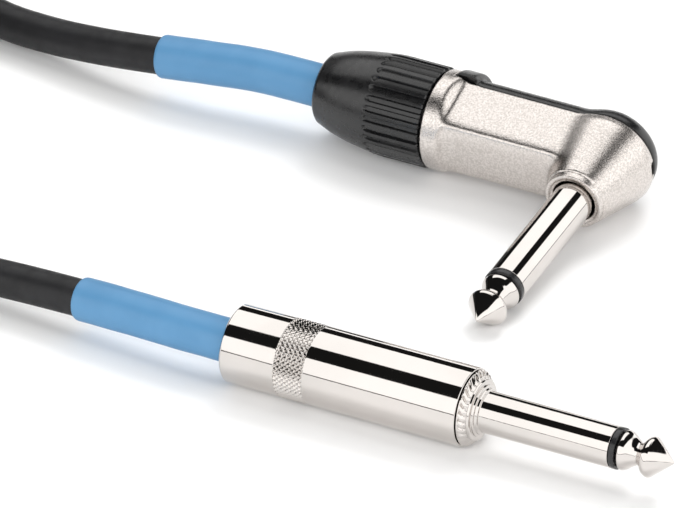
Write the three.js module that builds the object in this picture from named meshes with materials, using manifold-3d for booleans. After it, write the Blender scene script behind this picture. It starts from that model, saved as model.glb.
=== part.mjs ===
// Instrument cable: a straight phone plug and a right-angle phone plug on one shielded cable.
//
// Frame: millimetres, +Z up, floor at z = 0. X and Y are 0 at the middle of the two plugs' box.
// Both plugs lie with their cable ends towards -X. The right-angle plug's shaft points along -Y.
import * as THREE from 'three';
import { mergeVertices } from 'three/addons/utils/BufferGeometryUtils.js';
import Module from 'manifold-3d';

const wasm = await Module();
wasm.setup();

// ---------------------------------------------------------------- driving dimensions

const ROUND = 40;                 // sides of a turned piece that shows
const SMALL_ROUND = 20;           // sides of a small turned piece
const GAP = 0.2;                  // between two pieces that touch
const CLEAR = 0.3;                // between the cable and what holds it

// Quarter-inch phone plug contacts, measured from the shoulder face towards the tip
const SHAFT_R = 3.175;
const SHAFT_LENGTH = 22.0;
const SHAFT_BORE_R = 1.75;
const INSULATOR_WIDTH = 0.7;
const TIP_BASE = SHAFT_LENGTH + INSULATOR_WIDTH + 2 * GAP;
const TIP_APEX = 31.5;
const ROD_R = 0.9;
const ROD_HOLE_R = 1.15;
const ROD_INSULATOR_R = 1.5;
const RIVET_R = 1.4;
const PLATE = 0.5;                // sheet thickness of the terminals

// Cable and the heat-shrink sleeves at its two ends
const CABLE_R = 2.85;
const SLEEVE_R = 3.35;
const SLEEVE_WALL = 0.25;
const CORE_R = 1.3;
const STRAND_R = 0.35;
const PIGTAIL_R = 0.55;
const CORD_SIDES = 12;

// Straight plug, measured from its shoulder face
const COLLAR_R = 5.8;
const COLLAR_LENGTH = 1.5;
const SHOULDER_R = 4.65;
const SPIGOT_R = 4.6;
const SPIGOT_END = -7.6;
const BARREL_R = 6.0;
const BARREL_FRONT = -1.7;
const BARREL_REAR = -40.8;
const BARREL_WALL = 0.7;
const CABLE_HOLE_R = SLEEVE_R + 0.4;
const TUBE_R = 5.05;
const TUBE_WALL = 0.35;

// Right-angle plug, measured from the point where the shaft line meets the body line
const COLLAR_FACE = 10.5;         // from the body line to the collar's flat face
const ANGLE_COLLAR_R = 4.67;
const HEAD_R = 7.7;
const NECK_R = 7.7;
const NECK_FRONT = -23.5;
const NECK_REAR = -27.3;
const NIPPLE_R = 6.4;
const NIPPLE_REAR = -33.4;
const BODY_FRONT = -6.4;          // narrow front face of the body's trapezoid section
const BODY_FRONT_HALF = 4.35;
const BODY_BACK = 1.8;            // where the housing ends and the cover begins
const BODY_BACK_HALF = 6.7;
const CAVITY_FLOOR = -4.5;
const CAVITY_HALF = 3.4;
const COVER_BACK = 6.0;
const BUSHING_FRONT = -27.6;
const BUSHING_REAR = -46.8;
const BUSHING_R = 7.8;

// Places of the two plugs: from the straight plug's apex to the right-angle plug's shaft line,
// and between the lines of the two bodies
const TIP_TO_ANGLE_SHAFT = 46.1;
const BODY_SPACING = 68.1;
const HALF_LENGTH = (TIP_TO_ANGLE_SHAFT - BUSHING_REAR) / 2;
const HALF_DEPTH = (BARREL_R + BODY_SPACING + BUSHING_R) / 2;
const ANGLE_X = HALF_LENGTH - TIP_TO_ANGLE_SHAFT;
const ANGLE_Y = HALF_DEPTH - BUSHING_R;
const STRAIGHT_X = HALF_LENGTH - TIP_APEX;
const STRAIGHT_Y = BARREL_R - HALF_DEPTH;

// The right-angle plug lies on its clamping nut and on the ball of its tip
const ANGLE_Z = BUSHING_R;
const BALL_R = 3.12;
const BALL_X = TIP_BASE + 4.75;
const DROOP = Math.asin((ANGLE_Z - BALL_R) / (COLLAR_FACE + BALL_X));

// The coil is lifted by the tie that passes under it
const COIL = { x: -155, y: -0.8, lift: 1.3, meanR: 33, tracks: 4, layers: 4 };
const STRAP = { width: 12, thickness: 0.9, gap: 0.4 };
const OUTER_TURN_R = COIL.meanR + (COIL.tracks - 1) * CABLE_R;
const COIL_LOW_Z = COIL.lift + CABLE_R;
const COIL_HIGH_Z = COIL_LOW_Z + (COIL.layers - 1) * 2 * CABLE_R;

// Where the cable lies between each plug and the coil. Each route starts inside its plug.
const STRAIGHT_JACKET_END = -24;
const ANGLE_JACKET_END = -22.5;
const STRAIGHT_ROUTE = [
  [STRAIGHT_X + STRAIGHT_JACKET_END, STRAIGHT_Y, BARREL_R],
  [STRAIGHT_X - 38, STRAIGHT_Y, BARREL_R],
  [STRAIGHT_X - 48, STRAIGHT_Y, BARREL_R],
  [-43, -34.4, 5.8],
  [-53, -33.6, 5.3],
  [-67, -32.8, 4.4],
  [-80, -33.1, 3.6],
  [-94, -34.7, 3.15],
  [-108, -37.0, 3.05],
  [-123, -39.6, 3.2],
  [-139, -41.7, 3.8],
  [COIL.x, COIL.y - OUTER_TURN_R, COIL_LOW_Z],
];
const ANGLE_ROUTE = [
  [ANGLE_X + ANGLE_JACKET_END, ANGLE_Y, ANGLE_Z],
  [-40, ANGLE_Y, ANGLE_Z],
  [-50, ANGLE_Y, ANGLE_Z],
  [-58, 33.0, 7.7],
  [-66, 32.1, 7.3],
  [-75, 31.6, 6.4],
  [-85, 32.1, 5.0],
  [-94, 33.2, 3.85],
  [-103, 34.3, 3.7],
  [-112, 35.6, 5.8],
  [-123, 37.8, 10.9],
  [-134, 39.6, 16.6],
  [-145, 40.7, 20.2],
  [COIL.x, COIL.y + OUTER_TURN_R, COIL_HIGH_Z],
];

// How far the sleeves reach, along the cable from its end inside each plug
const STRAIGHT_SLEEVE = [8.5, 43.4];
const ANGLE_SLEEVE = [8.5, 51.5];

// ---------------------------------------------------------------- materials

const finish = (color, roughness, metalness) => (
  () => new THREE.MeshStandardMaterial({ color, roughness, metalness })
);
const polishedNickel = finish(0xd6d2ca, 0.12, 1);
const satinNickel = finish(0xc9c3b8, 0.38, 1);
const tinnedBrass = finish(0xb9ad8c, 0.35, 1);
const bareCopper = finish(0xb4683a, 0.35, 1);
const blackPlastic = finish(0x1b1b1d, 0.5, 0);
const darkInsulator = finish(0x17171a, 0.45, 0);
const phenolic = finish(0x6a4527, 0.6, 0);
const clearTube = finish(0xdedbd0, 0.4, 0);
const whiteCore = finish(0xe9e6dd, 0.5, 0);
const blueSleeve = finish(0x4a93d1, 0.45, 0);
const blackJacket = finish(0x18181b, 0.55, 0);
const blackWebbing = finish(0x202024, 0.9, 0);

// ---------------------------------------------------------------- shape helpers

const root = new THREE.Group();

function place(group, name, geometry, material) {
  const mesh = new THREE.Mesh(geometry, material());
  mesh.name = name;
  group.add(mesh);
}

// A closed profile of [radius, x] pairs, outer side towards +X, turned about the X axis
function turned(profile, sides = ROUND) {
  const points = profile.map(([r, x]) => new THREE.Vector2(r, x));
  if (points[0].x > 0) points.push(points[0].clone());
  return new THREE.LatheGeometry(points, sides).rotateZ(-Math.PI / 2);
}

// A plain ring or tube about the X axis
function ring(innerR, outerR, from, to, sides = SMALL_ROUND) {
  return turned([[innerR, from], [outerR, from], [outerR, to], [innerR, to]], sides);
}

// A plain rod about the X axis
function rod(radius, from, to, sides = ROUND) {
  return turned([[0, from], [radius, from], [radius, to], [0, to]], sides);
}

function box(x, y, z) {
  const [sizeX, sizeY, sizeZ] = [x, y, z].map(([low, high]) => high - low);
  const [midX, midY, midZ] = [x, y, z].map(([low, high]) => (low + high) / 2);
  return new THREE.BoxGeometry(sizeX, sizeY, sizeZ).translate(midX, midY, midZ);
}

function solid(geometry) {
  const bare = geometry.clone();
  bare.deleteAttribute('normal');
  bare.deleteAttribute('uv');
  const merged = mergeVertices(bare, 1e-4);
  const corners = merged.index.array;
  const triangles = [];
  for (let i = 0; i < corners.length; i += 3) {
    const [a, b, c] = corners.slice(i, i + 3);
    if (a !== b && b !== c && c !== a) triangles.push(a, b, c);
  }
  return new wasm.Manifold(new wasm.Mesh({
    numProp: 3,
    vertProperties: new Float32Array(merged.attributes.position.array),
    triVerts: new Uint32Array(triangles),
  }));
}

function geometryOf(manifold) {
  const mesh = manifold.getMesh();
  const geometry = new THREE.BufferGeometry();
  geometry.setAttribute('position', new THREE.BufferAttribute(mesh.vertProperties, 3));
  geometry.setIndex(new THREE.BufferAttribute(mesh.triVerts, 1));
  return geometry;
}

// Joins the first list of geometries, then cuts away the second
function carved(joined, cut = []) {
  const whole = joined.map(solid).reduce((sum, next) => sum.add(next));
  return geometryOf(cut.map(solid).reduce((rest, next) => rest.subtract(next), whole));
}

function smoothCurve(points) {
  return new THREE.CatmullRomCurve3(points.map((p) => new THREE.Vector3(...p)));
}

// A round bar or, with a wall, a tube along a curve through the points
function alongCurve(curve, radius, steps, sides = CORD_SIDES, wall = 0) {
  const circle = (r) => Array.from({ length: sides }, (_, i) => {
    const angle = (i / sides) * 2 * Math.PI;
    return new THREE.Vector2(r * Math.cos(angle), r * Math.sin(angle));
  });
  const section = new THREE.Shape(circle(radius));
  if (wall > 0) section.holes.push(new THREE.Path(circle(radius - wall)));
  return new THREE.ExtrudeGeometry(section, { extrudePath: curve, steps, bevelEnabled: false });
}

// The stretch of a curve between two distances from its start, as a curve of its own
function stretch(curve, from, to, count) {
  const whole = curve.getLength();
  const points = [];
  for (let i = 0; i <= count; i += 1) {
    points.push(curve.getPointAt((from + ((to - from) * i) / count) / whole));
  }
  return new THREE.CatmullRomCurve3(points);
}

// ---------------------------------------------------------------- phone plug contacts

// The tip: a lip at its base, a waist for the jack's spring, a ball and a cone
const TIP_OUTLINE = [
  [2.7, TIP_BASE], [3.05, TIP_BASE + 0.5], [2.85, TIP_BASE + 1.15], [2.15, TIP_BASE + 2.1],
  [1.78, TIP_BASE + 2.85], [2.1, TIP_BASE + 3.4], [2.85, TIP_BASE + 4.05],
  [BALL_R, BALL_X], [2.85, TIP_BASE + 5.4],
];

function tipContact(rodEnd) {
  const bends = TIP_OUTLINE.map(([r, x]) => new THREE.Vector2(r, x));
  const outline = new THREE.SplineCurve(bends).getPoints(14).map((p) => [p.x, p.y]);
  return turned([
    [0, rodEnd - RIVET_R / 2], [RIVET_R, rodEnd - RIVET_R / 2], [RIVET_R, rodEnd], [ROD_R, rodEnd],
    [ROD_R, TIP_BASE], ...outline, [0.3, TIP_APEX - 0.25], [0, TIP_APEX],
  ], SMALL_ROUND + 4);
}

// Everything on the shaft line that the two plugs share: tip, its ring and the rod's tube
function addContacts(group, prefix, rodEnd, tubeEnd) {
  place(group, `${prefix}_tip_contact`, tipContact(rodEnd), polishedNickel);
  const ringStart = SHAFT_LENGTH + GAP;
  const ringEnd = ringStart + INSULATOR_WIDTH;
  const tipRing = ring(ROD_HOLE_R, SHAFT_R, ringStart, ringEnd, SMALL_ROUND + 8);
  place(group, `${prefix}_tip_insulator`, tipRing, darkInsulator);
  const tube = ring(ROD_HOLE_R, ROD_INSULATOR_R, tubeEnd, SHAFT_LENGTH);
  place(group, `${prefix}_rod_insulator`, tube, whiteCore);
}

// A flat round plate on the rod with a hole in its middle
const plate = (holeR, outerR, front) => ring(holeR, outerR, front - PLATE, front);

// ---------------------------------------------------------------- straight plug

const straight = new THREE.Group();
straight.position.set(STRAIGHT_X, STRAIGHT_Y, BARREL_R);
root.add(straight);

const GROUND_FRONT = SPIGOT_END - GAP;
const WASHER_FRONT = GROUND_FRONT - PLATE - GAP;
const WASHER = 0.9;
const TIP_TERMINAL_FRONT = WASHER_FRONT - WASHER - GAP;
const ROD_END = TIP_TERMINAL_FRONT - PLATE - GAP;

function sleeveContact() {
  return turned([
    [SHAFT_BORE_R, SPIGOT_END], [SPIGOT_R - 0.3, SPIGOT_END], [SPIGOT_R, SPIGOT_END + 0.3],
    [SPIGOT_R, -COLLAR_LENGTH], [COLLAR_R, -COLLAR_LENGTH], [COLLAR_R, -COLLAR_LENGTH + 0.2],
    [SHOULDER_R + 0.15, -0.4], [SHOULDER_R, -0.4], [SHOULDER_R, 0], [3.95, 0], [3.95, 0.35],
    [3.55, 0.55], [3.55, 0.8], [SHAFT_R, 0.9], [SHAFT_R, SHAFT_LENGTH],
    [SHAFT_BORE_R, SHAFT_LENGTH],
  ]);
}

// A round plate with a tab bent back along the inside of the barrel and a solder eye in it
function tipTerminal() {
  const tabBack = TIP_TERMINAL_FRONT - 6.5;
  const tab = box([tabBack, TIP_TERMINAL_FRONT - 0.05], [-1.4, 1.4], [2.1, 2.1 + PLATE]);
  const eye = rod(0.6, -2, 2, 12).rotateY(Math.PI / 2).translate(tabBack + 1.5, 0, 2.35);
  const round = plate(ROD_HOLE_R, 2.5, TIP_TERMINAL_FRONT);
  return carved([round, tab], [eye]);
}

// A round plate, a long strip under the wires and a cradle that is crimped round the jacket
function groundTerminal() {
  const stripTop = -3.6;
  const strip = box([-32, GROUND_FRONT - 0.05], [-1.7, 1.7], [stripTop - PLATE, stripTop]);
  const seat = box([-32, -25], [-1.4, 1.4], [stripTop - 0.1, stripTop + 0.35]);
  const cradle = ring(CABLE_R + CLEAR, CABLE_R + CLEAR + PLATE + 0.2, -32, -25);
  const mouth = box([-33, -24], [-5, 5], [0.9, 5]);
  const jacket = rod(CABLE_R + CLEAR, -33, -24, SMALL_ROUND);
  const eye = rod(0.7, -6, 0, 12).rotateY(Math.PI / 2).translate(-14, 0, 0);
  return carved([plate(2.1, 4.3, GROUND_FRONT), strip, seat, cradle], [mouth, jacket, eye]);
}

function barrel() {
  const innerR = BARREL_R - BARREL_WALL;
  const threadR = SPIGOT_R + 0.25;
  const rearWall = 2.2;
  return turned([
    [CABLE_HOLE_R, BARREL_REAR], [BARREL_R - 0.35, BARREL_REAR], [BARREL_R, BARREL_REAR + 0.4],
    [BARREL_R, BARREL_FRONT - 0.15], [BARREL_R - 0.15, BARREL_FRONT], [threadR, BARREL_FRONT],
    [threadR, BARREL_FRONT - 5.6], [innerR, BARREL_FRONT - 6],
    [innerR, BARREL_REAR + rearWall], [CABLE_HOLE_R, BARREL_REAR + rearWall],
  ], ROUND + 8);
}

place(straight, 'straight_sleeve_contact', sleeveContact(), polishedNickel);
addContacts(straight, 'straight', ROD_END, SPIGOT_END);
place(straight, 'straight_ground_terminal', groundTerminal(), tinnedBrass);
place(straight, 'straight_terminal_washer',
  ring(ROD_HOLE_R, 3.3, WASHER_FRONT - WASHER, WASHER_FRONT), phenolic);
place(straight, 'straight_tip_terminal', tipTerminal(), tinnedBrass);
place(straight, 'straight_insulating_tube',
  ring(TUBE_R - TUBE_WALL, TUBE_R, BARREL_REAR + 3.4, BARREL_FRONT - 6.6, ROUND), clearTube);
place(straight, 'straight_barrel', barrel(), polishedNickel);
place(straight, 'straight_core_insulation',
  alongCurve(smoothCurve([[-23.7, 0, 0], [-20.8, 0, 0.25], [-18, 0, 0.75]]), CORE_R, 4), whiteCore);
place(straight, 'straight_conductor',
  alongCurve(smoothCurve([[-17.7, 0, 0.8], [-16, 0, 1.25], [-12.6, 0, 1.5]]), STRAND_R, 4, 8),
  bareCopper);
place(straight, 'straight_shield_pigtail',
  alongCurve(smoothCurve([[-23.7, 0, -2.15], [-20, 0, -2.6], [-15.5, 0, -2.8]]), PIGTAIL_R, 4, 8),
  bareCopper);

// ---------------------------------------------------------------- right-angle plug

const angle = new THREE.Group();
angle.position.set(ANGLE_X, ANGLE_Y, ANGLE_Z);
angle.rotation.x = DROOP;
root.add(angle);

// The shaft line has its own group, in which +X points along the shaft
const shaft = new THREE.Group();
shaft.position.set(0, -COLLAR_FACE, 0);
shaft.rotation.z = -Math.PI / 2;
angle.add(shaft);

const FLANGE_FRONT = -COLLAR_FACE - CAVITY_FLOOR - GAP;
const FLANGE = 1.0;
const ANGLE_GROUND_FRONT = FLANGE_FRONT - FLANGE - GAP;
const ANGLE_WASHER_FRONT = ANGLE_GROUND_FRONT - PLATE - GAP;
const ANGLE_TIP_FRONT = ANGLE_WASHER_FRONT - WASHER - GAP;
const ANGLE_ROD_END = ANGLE_TIP_FRONT - PLATE - GAP;

// A plain shaft with a flange that bears on the housing's floor from inside
function angleSleeveContact() {
  const back = FLANGE_FRONT - FLANGE;
  return turned([
    [SHAFT_BORE_R, back], [4.4, back], [4.4, FLANGE_FRONT], [SHAFT_R, FLANGE_FRONT],
    [SHAFT_R, SHAFT_LENGTH], [SHAFT_BORE_R, SHAFT_LENGTH],
  ]);
}

// A round plate on the rod with a tab towards the cable and a solder eye near its end.
// In the shaft's own group the cable comes from -Y.
function lugPlate(front, holeR, outerR, reach, halfWidth) {
  const tab = box([front - PLATE, front], [-reach, -outerR + 0.6], [-halfWidth, halfWidth]);
  const eye = rod(0.6, front - 2, front + 2, 12).translate(0, 1.4 - reach, 0);
  return carved([plate(holeR, outerR, front), tab], [eye]);
}

// A lathe about the shaft line, given as [radius, y] pairs from the front towards the back
function turnedAboutShaft(profile, sides = ROUND) {
  const points = profile.map(([r, y]) => new THREE.Vector2(r, y));
  return new THREE.LatheGeometry(points, sides);
}

function shaftCylinder(radius, from, to, sides = ROUND) {
  return turnedAboutShaft([[0, from], [radius, from], [radius, to], [0, to]], sides);
}

// The trapezoid section of the body between two places along the body line
function trapezoid(from, to) {
  const section = new THREE.Shape([
    new THREE.Vector2(-BODY_FRONT_HALF, BODY_FRONT), new THREE.Vector2(BODY_FRONT_HALF, BODY_FRONT),
    new THREE.Vector2(BODY_BACK_HALF, BODY_BACK), new THREE.Vector2(-BODY_BACK_HALF, BODY_BACK),
  ]);
  const bar = new THREE.ExtrudeGeometry(section, { depth: to - from, bevelEnabled: false });
  return bar.rotateY(Math.PI / 2).translate(from, 0, 0);
}

function housing() {
  const past = 1;
  const head = turnedAboutShaft([
    [0, -COLLAR_FACE], [ANGLE_COLLAR_R, -COLLAR_FACE], [ANGLE_COLLAR_R, -COLLAR_FACE + 0.9],
    [5.1, -COLLAR_FACE + 1.3], [HEAD_R - 0.15, -0.3], [HEAD_R, 0.5], [HEAD_R, BODY_BACK - 0.5],
    [HEAD_R - 0.3, BODY_BACK], [0, BODY_BACK],
  ]);
  const boreR = 3.5;
  return carved([
    head,
    trapezoid(NECK_FRONT - 0.5, 0),
    rod(NECK_R, NECK_REAR, NECK_FRONT),
    rod(NIPPLE_R, NIPPLE_REAR, NECK_REAR + 0.1),
  ], [
    box([NECK_FRONT - 2.2, NECK_FRONT + past], [BODY_BACK, 9], [-9, 9]),
    shaftCylinder(SHAFT_R + CLEAR, -COLLAR_FACE - past, 0, SMALL_ROUND + 4),
    box([NECK_FRONT + 0.6, 0], [CAVITY_FLOOR, BODY_BACK + past], [-CAVITY_HALF, CAVITY_HALF]),
    shaftCylinder(5.6, CAVITY_FLOOR, BODY_BACK + past),
    rod(boreR, NIPPLE_REAR - past, NECK_FRONT + 1.5, SMALL_ROUND + 4),
    rod(NIPPLE_R - 0.95, NIPPLE_REAR - past, NECK_REAR - 1.7),
    box([HEAD_R - 1.2, HEAD_R + past], [BODY_BACK - 1.1, BODY_BACK + past], [-1.1, 1.1]),
  ]);
}

// The moulded cover: a shallow lid over the body and the head, a tab that follows the round
// neck and a lip that drops into the housing
function backCover() {
  const low = BODY_BACK + CLEAR;
  const bevel = 1.8;
  const edgeRound = 2.5;
  const half = BODY_BACK_HALF - bevel;
  const headR = HEAD_R - 0.85 - bevel;
  const headStart = (110 * Math.PI) / 180;
  const outline = new THREE.Shape();
  outline.moveTo(NECK_FRONT + bevel, -half);
  outline.lineTo(-7, -half);
  outline.quadraticCurveTo(-4, -half, headR * Math.cos(headStart), -headR * Math.sin(headStart));
  outline.absarc(0, 0, headR, -headStart, headStart, false);
  outline.quadraticCurveTo(-4, half, -7, half);
  outline.lineTo(NECK_FRONT + bevel, half);
  const lid = new THREE.ExtrudeGeometry(outline, {
    depth: 4, bevelThickness: edgeRound, bevelSize: bevel, bevelSegments: 2, curveSegments: 12,
  }).rotateX(Math.PI / 2).translate(0, COVER_BACK - edgeRound, 0);
  const tab = rod(NECK_R, NECK_FRONT - 1.9, NECK_FRONT + 1.2);
  const behind = box([-30, 10], [low, 12], [-9, 9]);
  const lipHalf = CAVITY_HALF - CLEAR;
  const lip = box([NECK_FRONT + 1, 0], [low - 1.4, low + 0.4], [-lipHalf, lipHalf]);
  const cableWay = rod(3.5, NECK_FRONT - 4, NECK_FRONT + 3, SMALL_ROUND + 4);
  const hollow = box([NECK_FRONT + 2.2, -1], [low - 2, COVER_BACK - 1.4], [1 - lipHalf, lipHalf - 1]);
  const outside = solid(lid).add(solid(tab)).intersect(solid(behind));
  return geometryOf([cableWay, hollow].map(solid).reduce(
    (rest, next) => rest.subtract(next), outside.add(solid(lip)),
  ));
}

// The clamping nut: smooth and swelling at the rear, straight where the grip ribs are
function bushing() {
  const boreR = NIPPLE_R + 0.35;
  return turned([
    [CABLE_HOLE_R, BUSHING_REAR], [4.9, BUSHING_REAR], [5.45, BUSHING_REAR + 0.5],
    [6.1, BUSHING_REAR + 2.9], [6.66, BUSHING_REAR + 5.4], [7.15, BUSHING_REAR + 7.8],
    [7.55, BUSHING_REAR + 9.7], [BUSHING_R, BUSHING_REAR + 11.6], [BUSHING_R, BUSHING_FRONT - 0.3],
    [BUSHING_R - 0.3, BUSHING_FRONT], [boreR, BUSHING_FRONT], [boreR, NIPPLE_REAR - GAP],
    [5.6, NIPPLE_REAR - 0.7], [4.75, BUSHING_REAR + 2.6], [CABLE_HOLE_R, BUSHING_REAR + 1.7],
  ]);
}

// The split chuck that the nut squeezes round the cable
function chuck() {
  const innerR = SLEEVE_R + CLEAR;
  const front = NECK_REAR - 2.2;
  const rear = BUSHING_REAR + 2.9;
  const shoulder = NIPPLE_REAR - 0.2;
  const body = turned([
    [innerR, rear], [4.3, rear], [5.1, shoulder], [5.1, front], [innerR, front],
  ], SMALL_ROUND + 10);
  const slots = [0, 1, 2].map((i) => (
    box([rear - 1, shoulder + 3], [0, 7], [-0.5, 0.5]).rotateX((i * 2 * Math.PI) / 3)
  ));
  return carved([body], slots);
}

place(angle, 'angle_housing', housing(), satinNickel);
place(angle, 'angle_back_cover', backCover(), blackPlastic);
place(angle, 'angle_bushing', bushing(), blackPlastic);
place(angle, 'angle_chuck', chuck(), blackPlastic);
place(shaft, 'angle_sleeve_contact', angleSleeveContact(), polishedNickel);
addContacts(shaft, 'angle', ANGLE_ROD_END, FLANGE_FRONT - FLANGE);
place(shaft, 'angle_ground_terminal', lugPlate(ANGLE_GROUND_FRONT, 2.1, 4.2, 16, 1.5), tinnedBrass);
place(shaft, 'angle_terminal_washer',
  ring(ROD_HOLE_R, 3.6, ANGLE_WASHER_FRONT - WASHER, ANGLE_WASHER_FRONT), phenolic);
place(shaft, 'angle_tip_terminal', lugPlate(ANGLE_TIP_FRONT, ROD_HOLE_R, 2.5, 11, 1.3), tinnedBrass);
place(angle, 'angle_core_insulation',
  alongCurve(smoothCurve([[-22.2, 0, 0], [-18, 0.5, 0], [-14, 1.1, 0]]), CORE_R, 4), whiteCore);
place(angle, 'angle_conductor',
  alongCurve(smoothCurve([[-13.7, 1.1, 0], [-11.5, 0.9, 0], [-8, 0.4, 0]]), STRAND_R, 4, 8),
  bareCopper);
place(angle, 'angle_shield_pigtail',
  alongCurve(smoothCurve([[-22.2, -2.1, 0], [-17.5, -1.9, 0], [-12.5, -1.75, 0]]), PIGTAIL_R, 4, 8),
  bareCopper);

// ---------------------------------------------------------------- cable, sleeves, coil and tie

// The coil as one ring of its turns' outer shape, grown by a margin when it is used to cut
function coilRing(margin) {
  const half = COIL.tracks * CABLE_R + margin;
  const low = COIL.lift - margin;
  const high = COIL.lift + COIL.layers * 2 * CABLE_R + margin;
  const corner = CABLE_R * 0.7;
  const [inR, outR] = [COIL.meanR - half, COIL.meanR + half];
  const profile = [
    [inR + corner, low], [outR - corner, low], [outR, low + corner], [outR, high - corner],
    [outR - corner, high], [inR + corner, high], [inR, high - corner], [inR, low + corner],
    [inR + corner, low],
  ].map(([r, z]) => new THREE.Vector2(r, z));
  return new THREE.LatheGeometry(profile, 56).rotateX(Math.PI / 2).translate(COIL.x, COIL.y, 0);
}

// The hook-and-loop tie round the turns, on the side away from the plugs
function coilStrap() {
  const half = COIL.tracks * CABLE_R;
  const chord = COIL.meanR - half;
  const sag = chord - Math.sqrt(chord ** 2 - (STRAP.width / 2) ** 2);
  const inner = {
    left: -COIL.meanR - half - STRAP.gap, right: -chord + sag + STRAP.gap,
    low: STRAP.thickness, high: COIL.lift + COIL.layers * 2 * CABLE_R + STRAP.gap,
  };
  const band = (grow) => {
    const [x0, x1] = [inner.left - grow, inner.right + grow];
    const [z0, z1] = [inner.low - grow, inner.high + grow];
    const bend = 2 + grow;
    const path = grow > 0 ? new THREE.Shape() : new THREE.Path();
    path.moveTo(x0 + bend, z0);
    path.absarc(x1 - bend, z0 + bend, bend, -Math.PI / 2, 0, false);
    path.absarc(x1 - bend, z1 - bend, bend, 0, Math.PI / 2, false);
    path.absarc(x0 + bend, z1 - bend, bend, Math.PI / 2, Math.PI, false);
    path.absarc(x0 + bend, z0 + bend, bend, Math.PI, 1.5 * Math.PI, false);
    return path;
  };
  const section = band(STRAP.thickness);
  section.holes.push(band(0));
  const loop = new THREE.ExtrudeGeometry(section, {
    depth: STRAP.width, bevelEnabled: false, curveSegments: 6,
  });
  return loop.rotateX(Math.PI / 2).translate(COIL.x, COIL.y + STRAP.width / 2, 0);
}

function lead(route, steps) {
  const tube = alongCurve(smoothCurve(route), CABLE_R, steps);
  return geometryOf(solid(tube).subtract(solid(coilRing(CLEAR))));
}

// The heat-shrink sleeve over a stretch of a route's own curve
function shrinkSleeve(route, [from, to]) {
  const covered = stretch(smoothCurve(route), from, to, 8);
  return alongCurve(covered, SLEEVE_R, 12, CORD_SIDES, SLEEVE_WALL);
}

place(root, 'cable_straight_lead', lead(STRAIGHT_ROUTE, 36), blackJacket);
place(root, 'cable_angle_lead', lead(ANGLE_ROUTE, 36), blackJacket);
place(root, 'cable_coil', coilRing(0), blackJacket);
place(root, 'coil_strap', coilStrap(), blackWebbing);
place(root, 'straight_shrink_sleeve', shrinkSleeve(STRAIGHT_ROUTE, STRAIGHT_SLEEVE), blueSleeve);
place(root, 'angle_shrink_sleeve', shrinkSleeve(ANGLE_ROUTE, ANGLE_SLEEVE), blueSleeve);

export default root;
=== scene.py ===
"""Instrument cable: a straight and a right-angle quarter-inch phone plug on one shielded cable.

Lengths are millimetres in the CAD's frame; piece() turns them into metres. The two plugs' shapes
are built about their own axes first: x runs from the cable towards the tip of the straight plug,
and in the right-angle plug x runs along its body and the shaft points along -y.
"""
import math
import bmesh
import bpy
import numpy as np
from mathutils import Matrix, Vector


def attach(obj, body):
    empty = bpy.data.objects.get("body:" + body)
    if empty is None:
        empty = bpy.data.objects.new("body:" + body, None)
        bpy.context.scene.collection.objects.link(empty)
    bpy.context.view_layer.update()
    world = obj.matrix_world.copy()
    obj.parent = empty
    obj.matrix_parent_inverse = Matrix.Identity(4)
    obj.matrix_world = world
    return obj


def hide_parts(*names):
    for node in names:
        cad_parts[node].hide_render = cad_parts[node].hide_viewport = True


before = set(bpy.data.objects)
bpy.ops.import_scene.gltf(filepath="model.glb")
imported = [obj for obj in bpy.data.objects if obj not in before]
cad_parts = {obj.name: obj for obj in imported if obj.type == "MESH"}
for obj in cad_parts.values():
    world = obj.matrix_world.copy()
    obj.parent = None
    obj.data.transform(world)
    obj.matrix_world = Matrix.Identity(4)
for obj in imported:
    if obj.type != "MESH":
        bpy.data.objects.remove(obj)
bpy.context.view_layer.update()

MM = 0.001
TAU = 2 * math.pi

# ---------------------------------------------------------------- sizes shared with the CAD

SHAFT_R, SHAFT_LENGTH, SHAFT_BORE_R = 3.175, 22.0, 1.75
INSULATOR = (22.12, 22.98)
TIP_BASE, TIP_APEX = 23.1, 31.5
BALL_R, BALL_X = 3.12, 27.85
CABLE_R, SLEEVE_R, SLEEVE_WALL = 2.85, 3.35, 0.25
BARREL_R, BARREL_FRONT, BARREL_REAR = 6.0, -1.7, -40.8
SPIGOT_R, SPIGOT_END = 4.6, -7.6
COLLAR_FACE = 10.5
HEAD_R, NECK_R, NECK_REAR = 7.7, 7.7, -27.3
NIPPLE_R, NIPPLE_REAR = 6.4, -33.4
BODY_FRONT, BODY_FRONT_HALF, BODY_BACK, BODY_BACK_HALF = -6.4, 4.35, 1.8, 6.7
CAVITY_FLOOR, CAVITY_HALF = -4.5, 3.4
COVER_BACK = 6.0
BUSHING_R, BUSHING_FRONT, BUSHING_REAR = 7.8, -27.6, -46.8

STRAIGHT = np.array([14.95, -34.95, 6.0])
ANGLE = np.array([0.35, 33.15, 7.8])
DROOP = math.asin((BUSHING_R - BALL_R) / (COLLAR_FACE + BALL_X))

COIL_X, COIL_Y, COIL_MEAN_R, COIL_LIFT = -155, -0.8, 33, 1.3
COIL_TRACKS = COIL_LAYERS = 4
TURNS_PER_LAYER = 3
OUTER_TURN_R = COIL_MEAN_R + (COIL_TRACKS - 1) * CABLE_R
COIL_LOW_Z = COIL_LIFT + CABLE_R
COIL_HIGH_Z = COIL_LOW_Z + (COIL_LAYERS - 1) * 2 * CABLE_R

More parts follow.
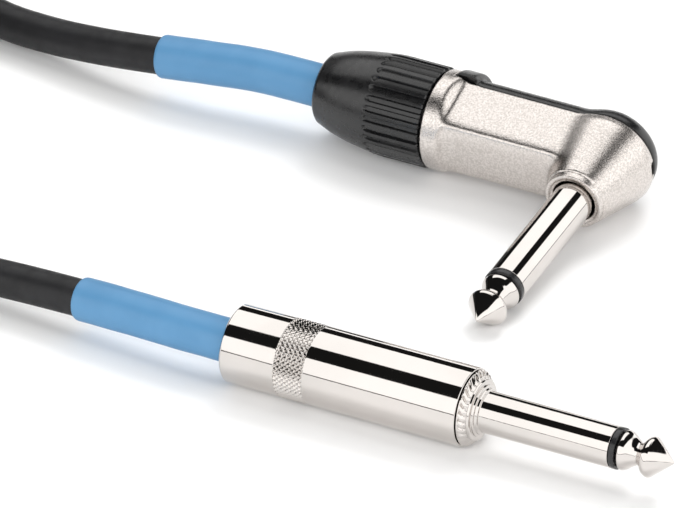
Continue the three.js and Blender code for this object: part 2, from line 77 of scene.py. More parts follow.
STRAIGHT_ROUTE = [
    (STRAIGHT[0] - 24, STRAIGHT[1], 6.0), (STRAIGHT[0] - 38, STRAIGHT[1], 6.0),
    (STRAIGHT[0] - 48, STRAIGHT[1], 6.0), (-43, -34.4, 5.8), (-53, -33.6, 5.3),
    (-67, -32.8, 4.4), (-80, -33.1, 3.6), (-94, -34.7, 3.15), (-108, -37.0, 3.05),
    (-123, -39.6, 3.2), (-139, -41.7, 3.8), (COIL_X, COIL_Y - OUTER_TURN_R, COIL_LOW_Z),
]
ANGLE_ROUTE = [
    (ANGLE[0] - 22.5, ANGLE[1], 7.8), (-40, ANGLE[1], 7.8), (-50, ANGLE[1], 7.8),
    (-58, 33.0, 7.7), (-66, 32.1, 7.3), (-75, 31.6, 6.4), (-85, 32.1, 5.0),
    (-94, 33.2, 3.85), (-103, 34.3, 3.7), (-112, 35.6, 5.8), (-123, 37.8, 10.9),
    (-134, 39.6, 16.6), (-145, 40.7, 20.2), (COIL_X, COIL_Y + OUTER_TURN_R, COIL_HIGH_Z),
]
STRAIGHT_SLEEVE, ANGLE_SLEEVE = (8.5, 43.4), (8.5, 51.5)

# ---------------------------------------------------------------- camera

AZIMUTH, ELEVATION = math.radians(27.6), math.radians(31.5)
VIEW_WIDTH = 99.12          # what the frame's width covers at the object
CAMERA_DISTANCE = 3000      # a longer lens would put other angles past the view's clip end
AIM_LEFT_OF_TIP, AIM_ABOVE_TIP = 48.88, 30.55
SENSOR = 36
back = np.array([math.sin(AZIMUTH) * math.cos(ELEVATION),
                 -math.cos(AZIMUTH) * math.cos(ELEVATION), math.sin(ELEVATION)])
right = np.array([math.cos(AZIMUTH), math.sin(AZIMUTH), 0])
up = np.cross(back, right)
aim = STRAIGHT + (TIP_APEX, 0, 0) - AIM_LEFT_OF_TIP * right + AIM_ABOVE_TIP * up
camera_data = bpy.data.cameras.new("camera")
camera_data.sensor_width = SENSOR
camera_data.lens = CAMERA_DISTANCE * SENSOR / VIEW_WIDTH
camera_data.clip_start, camera_data.clip_end = 0.05, 20
camera = bpy.data.objects.new("camera", camera_data)
bpy.context.collection.objects.link(camera)
camera.location = Vector((aim + CAMERA_DISTANCE * back) * MM)
camera.rotation_euler = Vector(-back).to_track_quat("-Z", "Y").to_euler()
bpy.context.scene.camera = camera

# ---------------------------------------------------------------- mesh helpers


def piece(name, points, faces, material, body, *nodes, sharp=35):
    """One object from points in millimetres, which rides on a body and stands for CAD nodes."""
    mesh = bpy.data.meshes.new(name)
    mesh.from_pydata((np.asarray(points, float) * MM).tolist(), [], faces)
    built = bmesh.new()
    built.from_mesh(mesh)
    bmesh.ops.remove_doubles(built, verts=built.verts, dist=1e-7)
    bmesh.ops.recalc_face_normals(built, faces=built.faces)
    limit = math.radians(sharp)
    for face in built.faces:
        face.smooth = True
    for edge in built.edges:
        if len(edge.link_faces) == 2 and edge.calc_face_angle() > limit:
            edge.smooth = False
    built.to_mesh(mesh)
    built.free()
    mesh.materials.append(material)
    made = bpy.data.objects.new(name, mesh)
    bpy.context.collection.objects.link(made)
    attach(made, body)
    if nodes:
        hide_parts(*nodes)
    return made


def quads(rows, columns, close_rows=False):
    """Faces between closed rows of points stored row by row. close_rows joins the last to the first."""
    faces = []
    for i in range(rows if close_rows else rows - 1):
        row, next_row = i * columns, (i + 1) % rows * columns
        for j in range(columns):
            k = (j + 1) % columns
            faces.append((row + j, row + k, next_row + k, next_row + j))
    return faces


def softened(corners, radius=0.12, steps=3):
    """A profile of (x, r) corners with each inner corner rounded off."""
    corners = [np.array(c, float) for c in corners]
    line = [corners[0]]
    for before, corner, after in zip(corners, corners[1:], corners[2:]):
        size_in, size_out = np.linalg.norm(before - corner), np.linalg.norm(after - corner)
        reach = min(radius, 0.45 * size_in, 0.45 * size_out)
        start = corner + (before - corner) * reach / size_in
        end = corner + (after - corner) * reach / size_out
        for t in np.linspace(0, 1, steps + 1):
            line.append((1 - t) ** 2 * start + 2 * t * (1 - t) * corner + t ** 2 * end)
    return line + [corners[-1]]


def turned(profile, sides=128, relief=None, closed=False):
    """Points and faces of (x, r) pairs turned about x. relief(x, angle) changes the radius."""
    profile = np.array(profile, float)
    angles = np.arange(sides) * TAU / sides
    x = np.repeat(profile[:, :1], sides, axis=1)
    r = np.repeat(profile[:, 1:], sides, axis=1)
    turn = np.repeat(angles[None, :], len(profile), axis=0)
    if relief is not None:
        r = r + relief(x, turn)
    points = np.stack([x, r * np.cos(turn), r * np.sin(turn)], axis=-1).reshape(-1, 3)
    return points, quads(len(profile), sides, close_rows=closed)


def joined(*parts):
    """Several (points, faces) pairs as one."""
    points, faces, first = [], [], 0
    for some_points, some_faces in parts:
        points.append(some_points)
        faces += [tuple(first + i for i in face) for face in some_faces]
        first += len(some_points)
    return np.concatenate(points), faces


def on_straight(part):
    return part[0] + STRAIGHT, part[1]


def on_angle(part):
    """Out of the right-angle plug's own axes: rolled about its body line until the tip touches."""
    x, y, z = part[0].T
    cos, sin = math.cos(DROOP), math.sin(DROOP)
    return np.stack([x, y * cos - z * sin, y * sin + z * cos], axis=-1) + ANGLE, part[1]


def on_shaft(part):
    """Out of a lathe about x into the right-angle plug's shaft, whose x is the plug's -y."""
    x, y, z = part[0].T
    return on_angle((np.stack([y, -COLLAR_FACE - x, z], axis=-1), part[1]))


def smoothstep(value, low, high):
    t = np.clip((value - low) / (high - low), 0, 1)
    return t * t * (3 - 2 * t)


# ---------------------------------------------------------------- the cable's line


def smooth_line(points, per_span=12):
    """Centripetal Catmull-Rom line through the points, as the CAD's routes are."""
    points = [np.array(p, float) for p in points]
    points = [2 * points[0] - points[1], *points, 2 * points[-1] - points[-2]]
    line = []
    for a, b, c, d in zip(points, points[1:], points[2:], points[3:]):
        ab, bc, cd = (math.sqrt(np.linalg.norm(q - p)) for p, q in ((a, b), (b, c), (c, d)))
        leave = ((b - a) / ab - (c - a) / (ab + bc) + (c - b) / bc) * bc
        arrive = ((c - b) / bc - (d - b) / (bc + cd) + (d - c) / cd) * bc
        for t in np.arange(per_span) / per_span:
            line.append((2 * t ** 3 - 3 * t ** 2 + 1) * b + (t ** 3 - 2 * t ** 2 + t) * leave
                        + (3 * t ** 2 - 2 * t ** 3) * c + (t ** 3 - t ** 2) * arrive)
    return np.array(line + [points[-2]])


def coil_line(per_turn=48):
    """Four layers of three turns, wound in, out, in and out, with half a turn to climb between."""
    pitch = 2 * CABLE_R
    inner = COIL_MEAN_R - (COIL_TRACKS - 1) * CABLE_R
    line, turn = [], 0
    steps = TURNS_PER_LAYER * per_turn
    for layer in range(COIL_LAYERS):
        start, end = (inner, OUTER_TURN_R) if layer % 2 else (OUTER_TURN_R, inner)
        z = COIL_LOW_Z + layer * pitch
        for i in range(steps):
            line.append((turn + i / per_turn, start + (end - start) * (i / steps), z))
        turn += TURNS_PER_LAYER
        if layer < COIL_LAYERS - 1:
            for i in range(per_turn // 2):
                rise = smoothstep(i / (per_turn / 2), 0, 1)
                line.append((turn + i / per_turn, end, z + pitch * rise))
            turn += 0.5
    line.append((turn, OUTER_TURN_R, COIL_HIGH_Z))
    turns, radii, heights = np.array(line).T
    angles = -TAU / 4 - turns * TAU
    return np.stack([COIL_X + radii * np.cos(angles), COIL_Y + radii * np.sin(angles), heights], 1)


def distances(line):
    return np.concatenate([[0], np.cumsum(np.linalg.norm(np.diff(line, axis=0), axis=1))])


def along(line, places):
    """Points at the given distances along a line."""
    run = distances(line)
    return np.stack([np.interp(places, run, line[:, k]) for k in range(3)], axis=1)


def rings(line, directions, radii):
    """A ring of points round each place on a line. radii has a row for each place."""
    tangents = directions / np.linalg.norm(directions, axis=1)[:, None]
    side = np.cross(tangents, (0, 0, 1))
    side /= np.linalg.norm(side, axis=1)[:, None]
    above = np.cross(side, tangents)
    turn = np.arange(radii.shape[1]) * TAU / radii.shape[1]
    ring = np.cos(turn)[None, :, None] * side[:, None] + np.sin(turn)[None, :, None] * above[:, None]
    return (line[:, None] + ring * radii[:, :, None]).reshape(-1, 3)


# ---------------------------------------------------------------- node helpers


def calc(tree, operation, *values):
    """A Math node on sockets or numbers."""
    node = tree.nodes.new("ShaderNodeMath")
    node.operation = operation
    for socket, value in zip(node.inputs, values):
        if isinstance(value, (int, float)):
            socket.default_value = value
        else:
            tree.links.new(value, socket)
    return node.outputs[0]


def ramp(tree, value, low, high, out_low, out_high):
    """A smooth step of a socket's value, from out_low at low to out_high at high."""
    node = tree.nodes.new("ShaderNodeMapRange")
    node.interpolation_type = "SMOOTHSTEP"
    tree.links.new(value, node.inputs["Value"])
    ends = {"From Min": low, "From Max": high, "To Min": out_low, "To Max": out_high}
    for name, number in ends.items():
        node.inputs[name].default_value = number
    return node.outputs[0]


def noise(tree, scale, detail=3, stretch=(1, 1, 1)):
    """Noise in the piece's own metres, scale in cycles per metre."""
    place = tree.nodes.new("ShaderNodeTexCoord").outputs["Object"]
    mapping = tree.nodes.new("ShaderNodeMapping")
    mapping.inputs["Scale"].default_value = stretch
    tree.links.new(place, mapping.inputs["Vector"])
    node = tree.nodes.new("ShaderNodeTexNoise")
    node.inputs["Scale"].default_value = scale
    node.inputs["Detail"].default_value = detail
    tree.links.new(mapping.outputs[0], node.inputs["Vector"])
    return node.outputs[0]


def blended(tree, share, low, high):
    """A colour between two others, by a socket's value."""
    node = tree.nodes.new("ShaderNodeMix")
    node.data_type = "RGBA"
    tree.links.new(share, node.inputs["Factor"])
    node.inputs["A"].default_value = (*low, 1)
    node.inputs["B"].default_value = (*high, 1)
    return node.outputs["Result"]


def finish(name, dark, light, metallic, roughness, tone_scale, bumps=(), **sockets):
    """A Principled material: two tones, roughness between two values and layers of bump.

    bumps holds (scale, height in metres, stretch) for each layer."""
    material = bpy.data.materials.new(name)
    material.use_nodes = True
    tree = material.node_tree
    shader = tree.nodes["Principled BSDF"]
    tone = noise(tree, tone_scale)
    tree.links.new(blended(tree, ramp(tree, tone, 0.35, 0.65, 0, 1), dark, light),
                   shader.inputs["Base Color"])
    tree.links.new(ramp(tree, noise(tree, tone_scale * 2.7), 0.3, 0.7, *roughness),
                   shader.inputs["Roughness"])
    shader.inputs["Metallic"].default_value = metallic
    for socket, value in sockets.items():
        shader.inputs[socket.replace("_", " ")].default_value = value
    normal = None
    for scale, height, stretch in bumps:
        bump = tree.nodes.new("ShaderNodeBump")
        bump.inputs["Distance"].default_value = height
        tree.links.new(noise(tree, scale, 2, stretch), bump.inputs["Height"])
        if normal is not None:
            tree.links.new(normal, bump.inputs["Normal"])
        normal = bump.outputs[0]
    if normal is not None:
        tree.links.new(normal, shader.inputs["Normal"])
    return material


EVEN = (1, 1, 1)
polished = finish("polished_nickel", (0.61, 0.58, 0.555), (0.65, 0.615, 0.59), 1, (0.035, 0.07), 90,
                  [(1500, 0.0000006, (1, 9, 9))])
satin = finish("satin_nickel", (0.55, 0.51, 0.48), (0.71, 0.665, 0.635), 1, (0.2, 0.29), 3400,
               [(5200, 0.00003, EVEN), (9000, 0.000016, EVEN)])
plastic = finish("black_plastic", (0.003, 0.003, 0.0035), (0.006, 0.006, 0.0065), 0, (0.25, 0.33), 300,
                 [(6500, 0.000004, EVEN)], IOR=1.58)
insulator = finish("insulator_ring", (0.008, 0.008, 0.009), (0.014, 0.014, 0.015), 0, (0.2, 0.3), 500)
jacket = finish("cable_jacket", (0.008, 0.008, 0.009), (0.012, 0.012, 0.0135), 0, (0.42, 0.55), 250,
                [(2600, 0.000012, (0.3, 1, 1)), (9000, 0.000004, EVEN)], IOR=1.4)
shrink = finish("blue_shrink", (0.08, 0.232, 0.42), (0.09, 0.25, 0.446), 0, (0.4, 0.5), 160,
                [(420, 0.00003, (0.4, 1, 1)), (6000, 0.000003, EVEN)])
webbing = finish("strap_fabric", (0.011, 0.011, 0.012), (0.03, 0.03, 0.032), 0, (0.85, 0.95), 2600,
                 [(2600, 0.00012, EVEN), (900, 0.00006, (1, 0.2, 1))])
brass = finish("tinned_brass", (0.60, 0.56, 0.43), (0.74, 0.70, 0.58), 1, (0.24, 0.38), 260,
               [(3000, 0.000004, (1, 4, 4))])
copper = finish("bare_copper", (0.62, 0.28, 0.15), (0.78, 0.42, 0.26), 1, (0.25, 0.4), 500,
                [(2600, 0.00003, (0.3, 1, 1))])
fibre = finish("fibre_board", (0.16, 0.075, 0.03), (0.27, 0.14, 0.06), 0, (0.55, 0.7), 900,
               [(4000, 0.00001, EVEN)])
white_core = finish("white_core", (0.72, 0.70, 0.65), (0.80, 0.78, 0.74), 0, (0.4, 0.5), 400,
                    [(3000, 0.000005, EVEN)])
clear = finish("clear_tube", (0.66, 0.64, 0.58), (0.75, 0.73, 0.68), 0, (0.25, 0.4), 300,
               [(2500, 0.000008, (0.2, 1, 1))])

# ---------------------------------------------------------------- cable, sleeves, coil

ROOT = "plug_bodies"
CABLE_STEP, CABLE_SIDES, SLEEVE_SIDES = 2.0, 28, 40
SLEEVE_END = 1.2            # stretch of the free end with closer rings
SLEEVE_ROLL = 0.55          # stretch over which the free end's edge rolls in
SLEEVE_EDGE = 0.26          # how far it rolls in
SLEEVE_GAP = 0.02           # visual skin inside the CAD's, so that the sleeve stays within it
WAVES, WAVE_HEIGHT = 6, 0.006
straight_line, angle_line = smooth_line(STRAIGHT_ROUTE), smooth_line(ANGLE_ROUTE)
cable_line = np.concatenate([straight_line[:-1], coil_line(), angle_line[::-1][1:]])
cable_path = along(cable_line, np.arange(0, distances(cable_line)[-1], CABLE_STEP))
cable_rings = rings(cable_path, np.gradient(cable_path, axis=0),
                    np.full((len(cable_path), CABLE_SIDES), CABLE_R))

cable = piece("cable", cable_rings, quads(len(cable_path), CABLE_SIDES), jacket, ROOT,
              "cable_straight_lead", "cable_angle_lead", "cable_coil")


def shrink_sleeve(name, line, start, end, node):
    """A shrunk-on tube: a rolled free end, faint waves in its wall and a wall of its own."""
    phases = np.random.default_rng(len(name)).uniform(0, TAU, WAVES)
    closing = end - SLEEVE_END + np.sin(np.linspace(0, TAU / 4, 12)[1:]) * SLEEVE_END
    places = np.concatenate([np.linspace(start, end - SLEEVE_END, 70), closing])
    turn = np.arange(SLEEVE_SIDES) * TAU / SLEEVE_SIDES
    near_end = np.clip((places - (end - SLEEVE_ROLL)) / SLEEVE_ROLL, 0, 1)
    outer = (SLEEVE_R - SLEEVE_GAP) - SLEEVE_EDGE * (1 - np.sqrt(1 - near_end ** 2))
    waves = sum(np.sin(places[:, None] * (0.25 + 0.17 * k) + turn[None] * (k % 4) + phases[k])
                for k in range(WAVES)) * WAVE_HEIGHT
    inner = np.full((len(places), SLEEVE_SIDES), SLEEVE_R - SLEEVE_WALL - 0.03)
    directions = np.gradient(along(line, places), axis=0)
    points = rings(along(line, np.concatenate([places, places[::-1]])),
                   np.concatenate([directions, directions[::-1]]),
                   np.concatenate([outer[:, None] + waves, inner[::-1]]))
    made = piece(name, points, quads(2 * len(places), SLEEVE_SIDES, close_rows=True), shrink, ROOT,
                 node)
    return made


straight_sleeve = shrink_sleeve("straight_sleeve", straight_line, *STRAIGHT_SLEEVE,
                                "straight_shrink_sleeve")
angle_sleeve = shrink_sleeve("angle_sleeve", angle_line, *ANGLE_SLEEVE, "angle_shrink_sleeve")

# ---------------------------------------------------------------- turned pieces of the plugs

THREAD_DEPTH, SPIGOT_PITCH = 0.24, 0.75


def thread(pitch, start, end):
    """Relief of a helical thread between two places on x."""
    def relief(x, turn):
        climb = (x / pitch - turn / TAU) % 1
        inside = smoothstep(x, start, start + 0.3) * (1 - smoothstep(x, end - 0.3, end))
        return -THREAD_DEPTH * np.abs(2 * climb - 1) * inside
    return relief


def dense(profile, step, start, end):
    """Adds points to a profile where it runs between two places on x."""
    line = [profile[0]]
    for before, after in zip(profile, profile[1:]):
        if min(before[0], after[0]) >= start - 1e-6 and max(before[0], after[0]) <= end + 1e-6:
            count = max(1, int(abs(after[0] - before[0]) / step))
            line += [before + (after - before) * i / count for i in range(1, count)]
        line.append(after)
    return line


FLUTES = 30
FLUTE_DEPTH, FLUTE_WIDTH, FLUTE_SLANT = 0.42, 0.24, 1.1


def collar_relief(x, turn):
    """Slanted grip flutes on the straight plug's bevel, over its spigot's thread."""
    on_bevel = smoothstep(x, -1.36, -1.22) * (1 - smoothstep(x, -0.45, -0.37))
    flute = (FLUTES * turn / TAU - FLUTE_SLANT * x) % 1
    bevel = -FLUTE_DEPTH * np.exp(-((flute - 0.5) / FLUTE_WIDTH) ** 2) * on_bevel
    return bevel + thread(SPIGOT_PITCH, SPIGOT_END, BARREL_FRONT)(x, turn)


sleeve_profile = softened([
    (SPIGOT_END, SHAFT_BORE_R), (SPIGOT_END, SPIGOT_R - 0.3), (SPIGOT_END + 0.3, SPIGOT_R),
    (-1.5, SPIGOT_R), (-1.5, 5.8), (-1.3, 5.8), (-0.75, 5.35), (-0.35, 4.75), (-0.35, 4.65), (0, 4.65),
    (0, 3.95), (0.35, 3.95), (0.42, 3.55), (0.8, 3.55), (0.9, SHAFT_R), (SHAFT_LENGTH, SHAFT_R),
    (SHAFT_LENGTH, SHAFT_BORE_R),
], 0.1)
sleeve_profile = dense(dense(sleeve_profile, 0.1, SPIGOT_END, -1.5), 0.06, -1.4, -0.4)
contact = piece("straight_shaft", *on_straight(turned(sleeve_profile, FLUTES * 14, collar_relief,
                                                      closed=True)),
                polished, ROOT, "straight_sleeve_contact")

angle_shaft_profile = softened([
    (-7.2, SHAFT_BORE_R), (-7.2, 4.4), (-6.2, 4.4), (-6.2, SHAFT_R), (SHAFT_LENGTH, SHAFT_R),
    (SHAFT_LENGTH, SHAFT_BORE_R),
], 0.1)
contact = piece("angle_shaft", *on_shaft(turned(angle_shaft_profile, 128, closed=True)),
                polished, ROOT, "angle_sleeve_contact")

TIP_BENDS = [(0, 2.7), (0.5, 3.05), (1.15, 2.85), (2.1, 2.15), (2.85, 1.78), (3.4, 2.1),
             (4.05, 2.85), (BALL_X - TIP_BASE, BALL_R), (5.15, 3.0)]
for prefix, place, rod_end in (("straight", on_straight, -10.3), ("angle", on_shaft, -9.9)):
    bends = [(TIP_BASE + x, r, 0) for x, r in TIP_BENDS]
    tip_profile = softened([(rod_end - 0.7, 0), (rod_end - 0.7, 1.4), (rod_end, 1.4),
                            (rod_end, 0.9), (TIP_BASE, 0.9), (TIP_BASE, 2.7)], 0.08)
    tip_profile += [p[:2] for p in smooth_line(bends, 7)]
    tip_profile += [np.array(p) for p in ((31.2, 0.36), (31.36, 0.2), (TIP_APEX - 0.06, 0.09),
                                          (TIP_APEX, 0))]
    made = piece(prefix + "_tip", *place(turned(tip_profile, 96)), polished, ROOT,
                 prefix + "_tip_contact")
    ring = softened([(INSULATOR[0], 1.15), (INSULATOR[0], 3.17), (INSULATOR[1], 3.17),
                     (INSULATOR[1], 1.15)], 0.12)
    made = piece(prefix + "_ring", *place(turned(ring, 96, closed=True)), insulator, ROOT,
                 prefix + "_tip_insulator")

KNURL = (-31.8, -26.9)
KNURL_COUNT, KNURL_DEPTH = 46, 0.26


def knurl(x, turn):
    """Crossed helical grooves that leave flat-topped diamonds."""
    pitch = TAU * BARREL_R / KNURL_COUNT
    one, other = (np.abs(2 * ((KNURL_COUNT * turn / TAU + s * x / pitch) % 1) - 1) for s in (1, -1))
    inside = smoothstep(x, KNURL[0], KNURL[0] + 0.12) * (1 - smoothstep(x, KNURL[1] - 0.12, KNURL[1]))
    return -KNURL_DEPTH * (1 - np.minimum(1, 1.3 * np.minimum(one, other))) * inside


outer = dense(softened([
    (BARREL_REAR, 3.75), (BARREL_REAR, BARREL_R - 0.35), (BARREL_REAR + 0.35, BARREL_R),
    (KNURL[0], BARREL_R), (KNURL[1], BARREL_R),
    (BARREL_FRONT - 0.12, BARREL_R), (BARREL_FRONT, BARREL_R - 0.12), (BARREL_FRONT, 4.85),
], 0.12), 0.09, *KNURL)
inner = softened([(BARREL_FRONT, 4.85), (-8.0, 4.85), (-8.4, 5.3), (-38.6, 5.3), (-38.6, 3.75),
                  (BARREL_REAR, 3.75)], 0.08)
barrel_skin = turned(outer, KNURL_COUNT * 10, knurl)
barrel = piece("barrel", *on_straight(joined(barrel_skin, turned(inner, KNURL_COUNT * 10))),
               polished, "straight_barrel", "straight_barrel")

RIBS, RIB_START, RIB_DEPTH = 30, -37.1, 0.45


def ribs(x, turn):
    """Valleys between the nut's grip ribs, each with a rounded end."""
    across = np.abs(2 * ((RIBS * turn / TAU) % 1) - 1)
    valley = 1 - smoothstep(across, 0.42, 0.68)
    outside = smoothstep(x, RIB_START + 0.8 * across ** 2, RIB_START + 0.5 + 0.8 * across ** 2)
    return -RIB_DEPTH * valley * outside * (x < BUSHING_FRONT - 0.01)


swell = smooth_line([(-46.3, 5.55, 0), (-43.9, 6.4, 0), (-41.4, 7.0, 0), (-39.0, 7.4, 0),
                     (-37.1, 7.65, 0), (-35.2, BUSHING_R, 0), (-33.0, BUSHING_R, 0)], 6)[:, :2]
nut_outer = [np.array(p) for p in ((BUSHING_REAR, 3.75), (BUSHING_REAR, 4.85), (-46.72, 5.08),
                                   (-46.55, 5.28))] + list(swell)
nut_outer += softened([(-32.9, BUSHING_R), (BUSHING_FRONT - 0.25, BUSHING_R),
                       (BUSHING_FRONT, BUSHING_R - 0.3), (BUSHING_FRONT, 6.75)], 0.1)
nut_outer = dense(nut_outer, 0.12, RIB_START - 0.3, -35)
nut_inner = softened([(BUSHING_FRONT, 6.75), (-33.6, 6.75), (-34.1, 5.6), (-44.2, 4.75),
                      (-45.1, 3.75), (BUSHING_REAR, 3.75)], 0.15)
nut = piece("clamping_nut", *on_angle(joined(turned(nut_outer, RIBS * 20, ribs),
                                             turned(nut_inner, RIBS * 20))),
            plastic, "angle_bushing", "angle_bushing", sharp=50)

# ---------------------------------------------------------------- cast housing and moulded cover


def soft_min(a, b, reach):
    """The smaller of two distances, blended where they are within reach of each other."""
    share = np.clip(0.5 + 0.5 * (b - a) / reach, 0, 1)
    return b + (a - b) * share - reach * share * (1 - share)


def soft_max(a, b, reach):
    """The larger of two distances, blended likewise."""
    return -soft_min(-a, -b, reach)


def every(*distances_in):
    """Inside all of several shapes: the largest of their distances."""
    return np.maximum.reduce(distances_in)


def skin(distance, low, high, step):
    """The surface where a signed distance is zero: a point in each crossed cell of a grid and a
    face round each crossed edge. The distance is positive all round the grid's border."""
    low = np.array(low, float)
    counts = np.ceil((np.array(high) - low) / step).astype(int) + 1
    field = distance(*np.meshgrid(*(low[k] + step * np.arange(counts[k]) for k in range(3)),
                                  indexing="ij"))
    total, hits = np.zeros((*(counts - 1), 3)), np.zeros(counts - 1)
    crossings = []
    for axis in range(3):
        near = np.take(field, np.arange(counts[axis] - 1), axis)
        far = np.take(field, np.arange(1, counts[axis]), axis)
        edges = np.argwhere((near < 0) != (far < 0))
        a, b = near[tuple(edges.T)], far[tuple(edges.T)]
        places = edges.astype(float)
        places[:, axis] += a / (a - b)
        around = []
        for first, second in ((0, 0), (-1, 0), (-1, -1), (0, -1)):
            cell = edges.copy()
            cell[:, (axis + 1) % 3] += first
            cell[:, (axis + 2) % 3] += second
            np.add.at(total, tuple(cell.T), places)
            np.add.at(hits, tuple(cell.T), 1)
            around.append(cell)
        crossings.append((around, a < 0))
    filled = hits > 0
    index = np.full(hits.shape, -1)
    index[filled] = np.arange(filled.sum())
    faces = []
    for around, outward in crossings:
        corners = np.stack([index[tuple(cell.T)] for cell in around], axis=1)
        corners[~outward] = corners[~outward][:, ::-1]
        faces += corners.tolist()
    return low + step * total[filled] / hits[filled][:, None], faces


SKIN_STEP = 0.2
FACETS_START = -23.8        # the body's facets run out into the round neck from here
NIPPLE_PITCH, NIPPLE_THREAD = 1.0, 0.28
HEAD_FOOT, HEAD_FOOT_R = -9.4, 4.95
LIP_R = 4.67
TAB_START, CAVITY_START = -25.7, -22.9
CORD_BORE_R, CHUCK_BORE_R, ROD_BORE_R = 3.5, 5.45, 3.475


def housing_distance(x, y, z):
    """The die-cast body, head, neck and threaded nipple, with their cavity and bores."""
    about_x, about_shaft, wide = np.hypot(y, z), np.hypot(x, z), np.abs(z)
    past = FACETS_START - x
    run_out = 0.75 * (np.sqrt(past ** 2 + 0.36) + past)
    slope = np.array((BODY_BACK_HALF - BODY_FRONT_HALF, BODY_BACK - BODY_FRONT))
    slope /= np.linalg.norm(slope)
    side = (wide - BODY_FRONT_HALF) * slope[1] - (y - BODY_FRONT) * slope[0] - run_out
    facets = soft_max(BODY_FRONT - y - run_out, side, 0.4)
    body = soft_max(soft_max(facets, about_x - NECK_R, 0.9), NECK_REAR - x, 0.3)
    body = every(body, x)
    head_r = np.interp(y, (HEAD_FOOT, -0.6, 0.5, BODY_BACK), (HEAD_FOOT_R, 7.5, HEAD_R, HEAD_R - 0.25))
    head = soft_max((about_shaft - head_r) * 0.96, HEAD_FOOT - y, 0.3)
    lip = soft_max(about_shaft - LIP_R, -COLLAR_FACE - y, 0.25)
    lip = every(lip, y + 5)
    whole = np.minimum(soft_min(body, head, 1.2), lip)
    climb = (x / NIPPLE_PITCH - np.arctan2(z, y) / TAU) % 1
    nipple_r = NIPPLE_R - NIPPLE_THREAD * np.abs(2 * climb - 1) * (x < NECK_REAR - 0.3)
    whole = np.minimum(whole, every(about_x - nipple_r, NIPPLE_REAR - x, x - NECK_REAR - 0.5))
    cuts = [
        every(TAB_START - x, BODY_BACK - y),
        every(CAVITY_START - x, x, CAVITY_FLOOR - y, wide - CAVITY_HALF),
        every(about_shaft - 5.6, CAVITY_FLOOR - y),
        every(about_x - CORD_BORE_R, x + 22),
        every(about_x - CHUCK_BORE_R, x + 29.5),
        every(about_shaft - ROD_BORE_R, y + 4.3),
        every(about_shaft - 4.0, y + COLLAR_FACE - 0.28),
        every(wide - 1.1, 6.5 - x, 0.7 - y),
    ]
    for cut in cuts:
        whole = soft_max(whole, -cut, 0.16)
    return whole


housing_skin = skin(housing_distance, (-34.1, -11.2, -8.5), (8.5, 8.5, 8.5), SKIN_STEP)
housing = piece("housing", *on_angle(housing_skin), satin, ROOT, "angle_housing", sharp=60)

COVER_LOW = BODY_BACK + 0.3
COVER_REAR = COVER_BACK - 0.4
COVER_HALF, COVER_END, COVER_HEAD_R, COVER_EDGE = 6.3, -23.5, 7.3, 3.2
NECK_TAB_HEIGHT = 0.4


def cover_distance(x, y, z):
    """The moulded back cover: a lid with rounded edges, its tab over the neck and its lip."""
    about_x, wide = np.hypot(y, z), np.abs(z)
    plan = soft_min(every(wide - COVER_HALF, COVER_END - x, x), np.hypot(x, z) - COVER_HEAD_R, 1.0)
    in_plan, in_height = plan + COVER_EDGE, y - COVER_REAR + COVER_EDGE
    lid = (np.hypot(np.maximum(in_plan, 0), np.maximum(in_height, 0))
           + np.minimum(np.maximum(in_plan, in_height), 0) - COVER_EDGE)
    tab = soft_max(about_x - NECK_R - NECK_TAB_HEIGHT, every(-25.4 - x, x + 22.3), 0.5)
    whole = soft_max(soft_min(lid, tab, 0.5), COVER_LOW - y, 0.15)
    lip = every(-22.5 - x, x, COVER_LOW - 1.4 - y, y - COVER_LOW - 0.4, wide - 3.1)
    whole = np.minimum(whole, lip)
    for cut in (every(about_x - CORD_BORE_R, -27.5 - x, x + 20.5),
                every(-21.3 - x, x + 1, y - COVER_REAR + 1.4, wide - 2.1)):
        whole = soft_max(whole, -cut, 0.12)
    return whole


cover_skin = skin(cover_distance, (-26.2, 0, -8.4), (8, 8.4, 8.4), SKIN_STEP)
cover = piece("back_cover", *on_angle(cover_skin), plastic, "angle_back_cover", "angle_back_cover",
              sharp=60)

# ---------------------------------------------------------------- tie round the coil

STRAP_WIDTH, STRAP_THICKNESS = 12, 0.85


def strap_loop(left, right_side, bottom, top, bend=3.0, per_bend=10):
    """Middle line of the tie round the turns, in x and z about the coil's middle."""
    line = []
    for cx, cz, start in ((right_side - bend, bottom + bend, -0.25), (right_side - bend, top - bend, 0),
                          (left + bend, top - bend, 0.25), (left + bend, bottom + bend, 0.5)):
        for t in np.linspace(start, start + 0.25, per_bend):
            line.append((cx + bend * math.cos(t * TAU), cz + bend * math.sin(t * TAU)))
    return np.array(line)


def tape(line, width, thickness, closed):
    """A woven tape along a line of (x, z), its edges rounded."""
    step = np.roll(line, -1, 0) - np.roll(line, 1, 0) if closed else np.gradient(line, axis=0)
    step /= np.linalg.norm(step, axis=1)[:, None]
    out = np.stack([step[:, 1], -step[:, 0]], axis=1)
    turn = np.linspace(0, TAU, 16, endpoint=False) + TAU / 32
    across = np.sign(np.cos(turn)) * np.minimum(1, np.abs(np.cos(turn)) * 1.25) * width / 2
    through = np.sign(np.sin(turn)) * np.minimum(1, np.abs(np.sin(turn)) * 2.2) * thickness / 2
    x = line[:, :1] + out[:, :1] * through
    z = line[:, 1:] + out[:, 1:] * through
    y = np.repeat(across[None], len(line), axis=0)
    points = np.stack([x + COIL_X, y + COIL_Y, z], axis=-1).reshape(-1, 3)
    faces = quads(len(line), 16, close_rows=closed)
    if not closed:
        faces += [tuple(range(15, -1, -1)), tuple(len(points) - 16 + i for i in range(16))]
    return points, faces


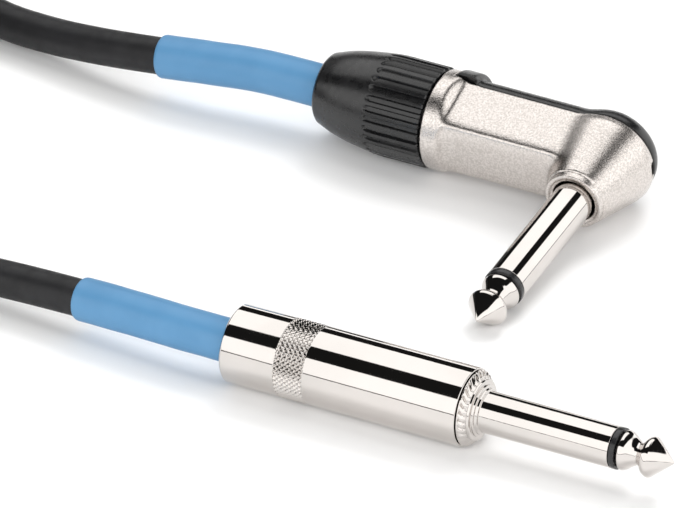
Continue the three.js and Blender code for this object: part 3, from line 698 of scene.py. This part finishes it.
band_line = strap_loop(-45.25, -19.9, 0.45, 24.95)
flap_line = np.stack([np.linspace(-40, -22.5, 24), 25.75 + 0.12 * np.sin(np.linspace(0, 3, 24))], 1)
strap = piece("tie", *joined(tape(band_line, STRAP_WIDTH, STRAP_THICKNESS, True),
                             tape(flap_line, STRAP_WIDTH - 0.4, 0.7, False)),
              webbing, ROOT, "coil_strap")

# ---------------------------------------------------------------- inner pieces, from the CAD

INNER = {
    "rod_insulator": white_core, "ground_terminal": brass, "terminal_washer": fibre,
    "tip_terminal": brass, "core_insulation": white_core, "conductor": copper,
    "shield_pigtail": copper, "insulating_tube": clear, "chuck": plastic,
}
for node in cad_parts:
    for ending, material in INNER.items():
        if node.endswith(ending):
            for material_slot in bpy.data.objects[node].material_slots:
                material_slot.material = material

# ---------------------------------------------------------------- floor, lights

floor_material = finish("floor", (0.93, 0.93, 0.93), (0.95, 0.95, 0.95), 0, (0.55, 0.6), 3)
floor_mesh = bpy.data.meshes.new("floor")
floor_mesh.from_pydata([(-4, -4, 0), (4, -4, 0), (4, 4, 0), (-4, 4, 0)], [], [(0, 1, 2, 3)])
floor_mesh.materials.append(floor_material)
floor = bpy.data.objects.new("floor", floor_mesh)
bpy.context.collection.objects.link(floor)

SOFTBOX, DARK = 1.6, 0.012
OVERHEAD_BESIDE, OVERHEAD_BEHIND = (-1.3, 0.25), (-0.13, 1.35)
PANEL_TOWARDS, PANEL_BEHIND = (0.95, 0.99), (5, 5.5)
HORIZON = (0.025, 0.05)
world = bpy.data.worlds.new("studio")
bpy.context.scene.world = world
world.use_nodes = True
sky = world.node_tree
direction = sky.nodes.new("ShaderNodeSeparateXYZ")
sky.links.new(sky.nodes.new("ShaderNodeTexCoord").outputs["Generated"], direction.inputs[0])
height = calc(sky, "MAXIMUM", direction.outputs["Z"], 0.001)
beside = calc(sky, "DIVIDE", direction.outputs["X"], height)
behind = calc(sky, "DIVIDE", direction.outputs["Y"], height)


def between(value, low, high, soft=0.02):
    """1 where a socket's value lies in a range, with soft ends, and 0 elsewhere."""
    rise = ramp(sky, value, low - soft, low + soft, 0, 1)
    return calc(sky, "MULTIPLY", rise, ramp(sky, value, high - soft, high + soft, 1, 0))


overhead = calc(sky, "MULTIPLY", between(beside, *OVERHEAD_BESIDE), between(behind, *OVERHEAD_BEHIND))
towards = calc(sky, "MAXIMUM", calc(sky, "MULTIPLY", behind, -1), calc(sky, "ADD", beside, 0.07))
sides = calc(sky, "MAXIMUM", ramp(sky, towards, *PANEL_TOWARDS, 0, 1),
             ramp(sky, behind, *PANEL_BEHIND, 0, 1))
lit = calc(sky, "MULTIPLY", calc(sky, "MAXIMUM", overhead, sides),
           ramp(sky, direction.outputs["Z"], *HORIZON, 0, 1))
seen = sky.nodes.new("ShaderNodeLightPath").outputs["Is Camera Ray"]
strength = calc(sky, "MAXIMUM", calc(sky, "ADD", calc(sky, "MULTIPLY", lit, SOFTBOX), DARK), seen)
sky.links.new(strength, sky.nodes["Background"].inputs["Strength"])
sky.nodes["Background"].inputs["Color"].default_value = (1, 0.995, 0.985, 1)


def soft_lamp(name, place, energy, size):
    """An area light aimed at the floor's middle that the metals don't mirror."""
    data = bpy.data.lights.new(name, "AREA")
    data.energy, data.size = energy, size
    lamp = bpy.data.objects.new(name, data)
    lamp.location = place
    lamp.rotation_euler = (-lamp.location).to_track_quat("-Z", "Y").to_euler()
    lamp.visible_glossy = False
    bpy.context.collection.objects.link(lamp)


soft_lamp("key", (-0.05, 0.85, 1.1), 7.6, 0.6)
soft_lamp("fill", (0.3, -1.1, 1.0), 9.5, 1.3)
bpy.context.scene.view_settings.view_transform = "Standard"
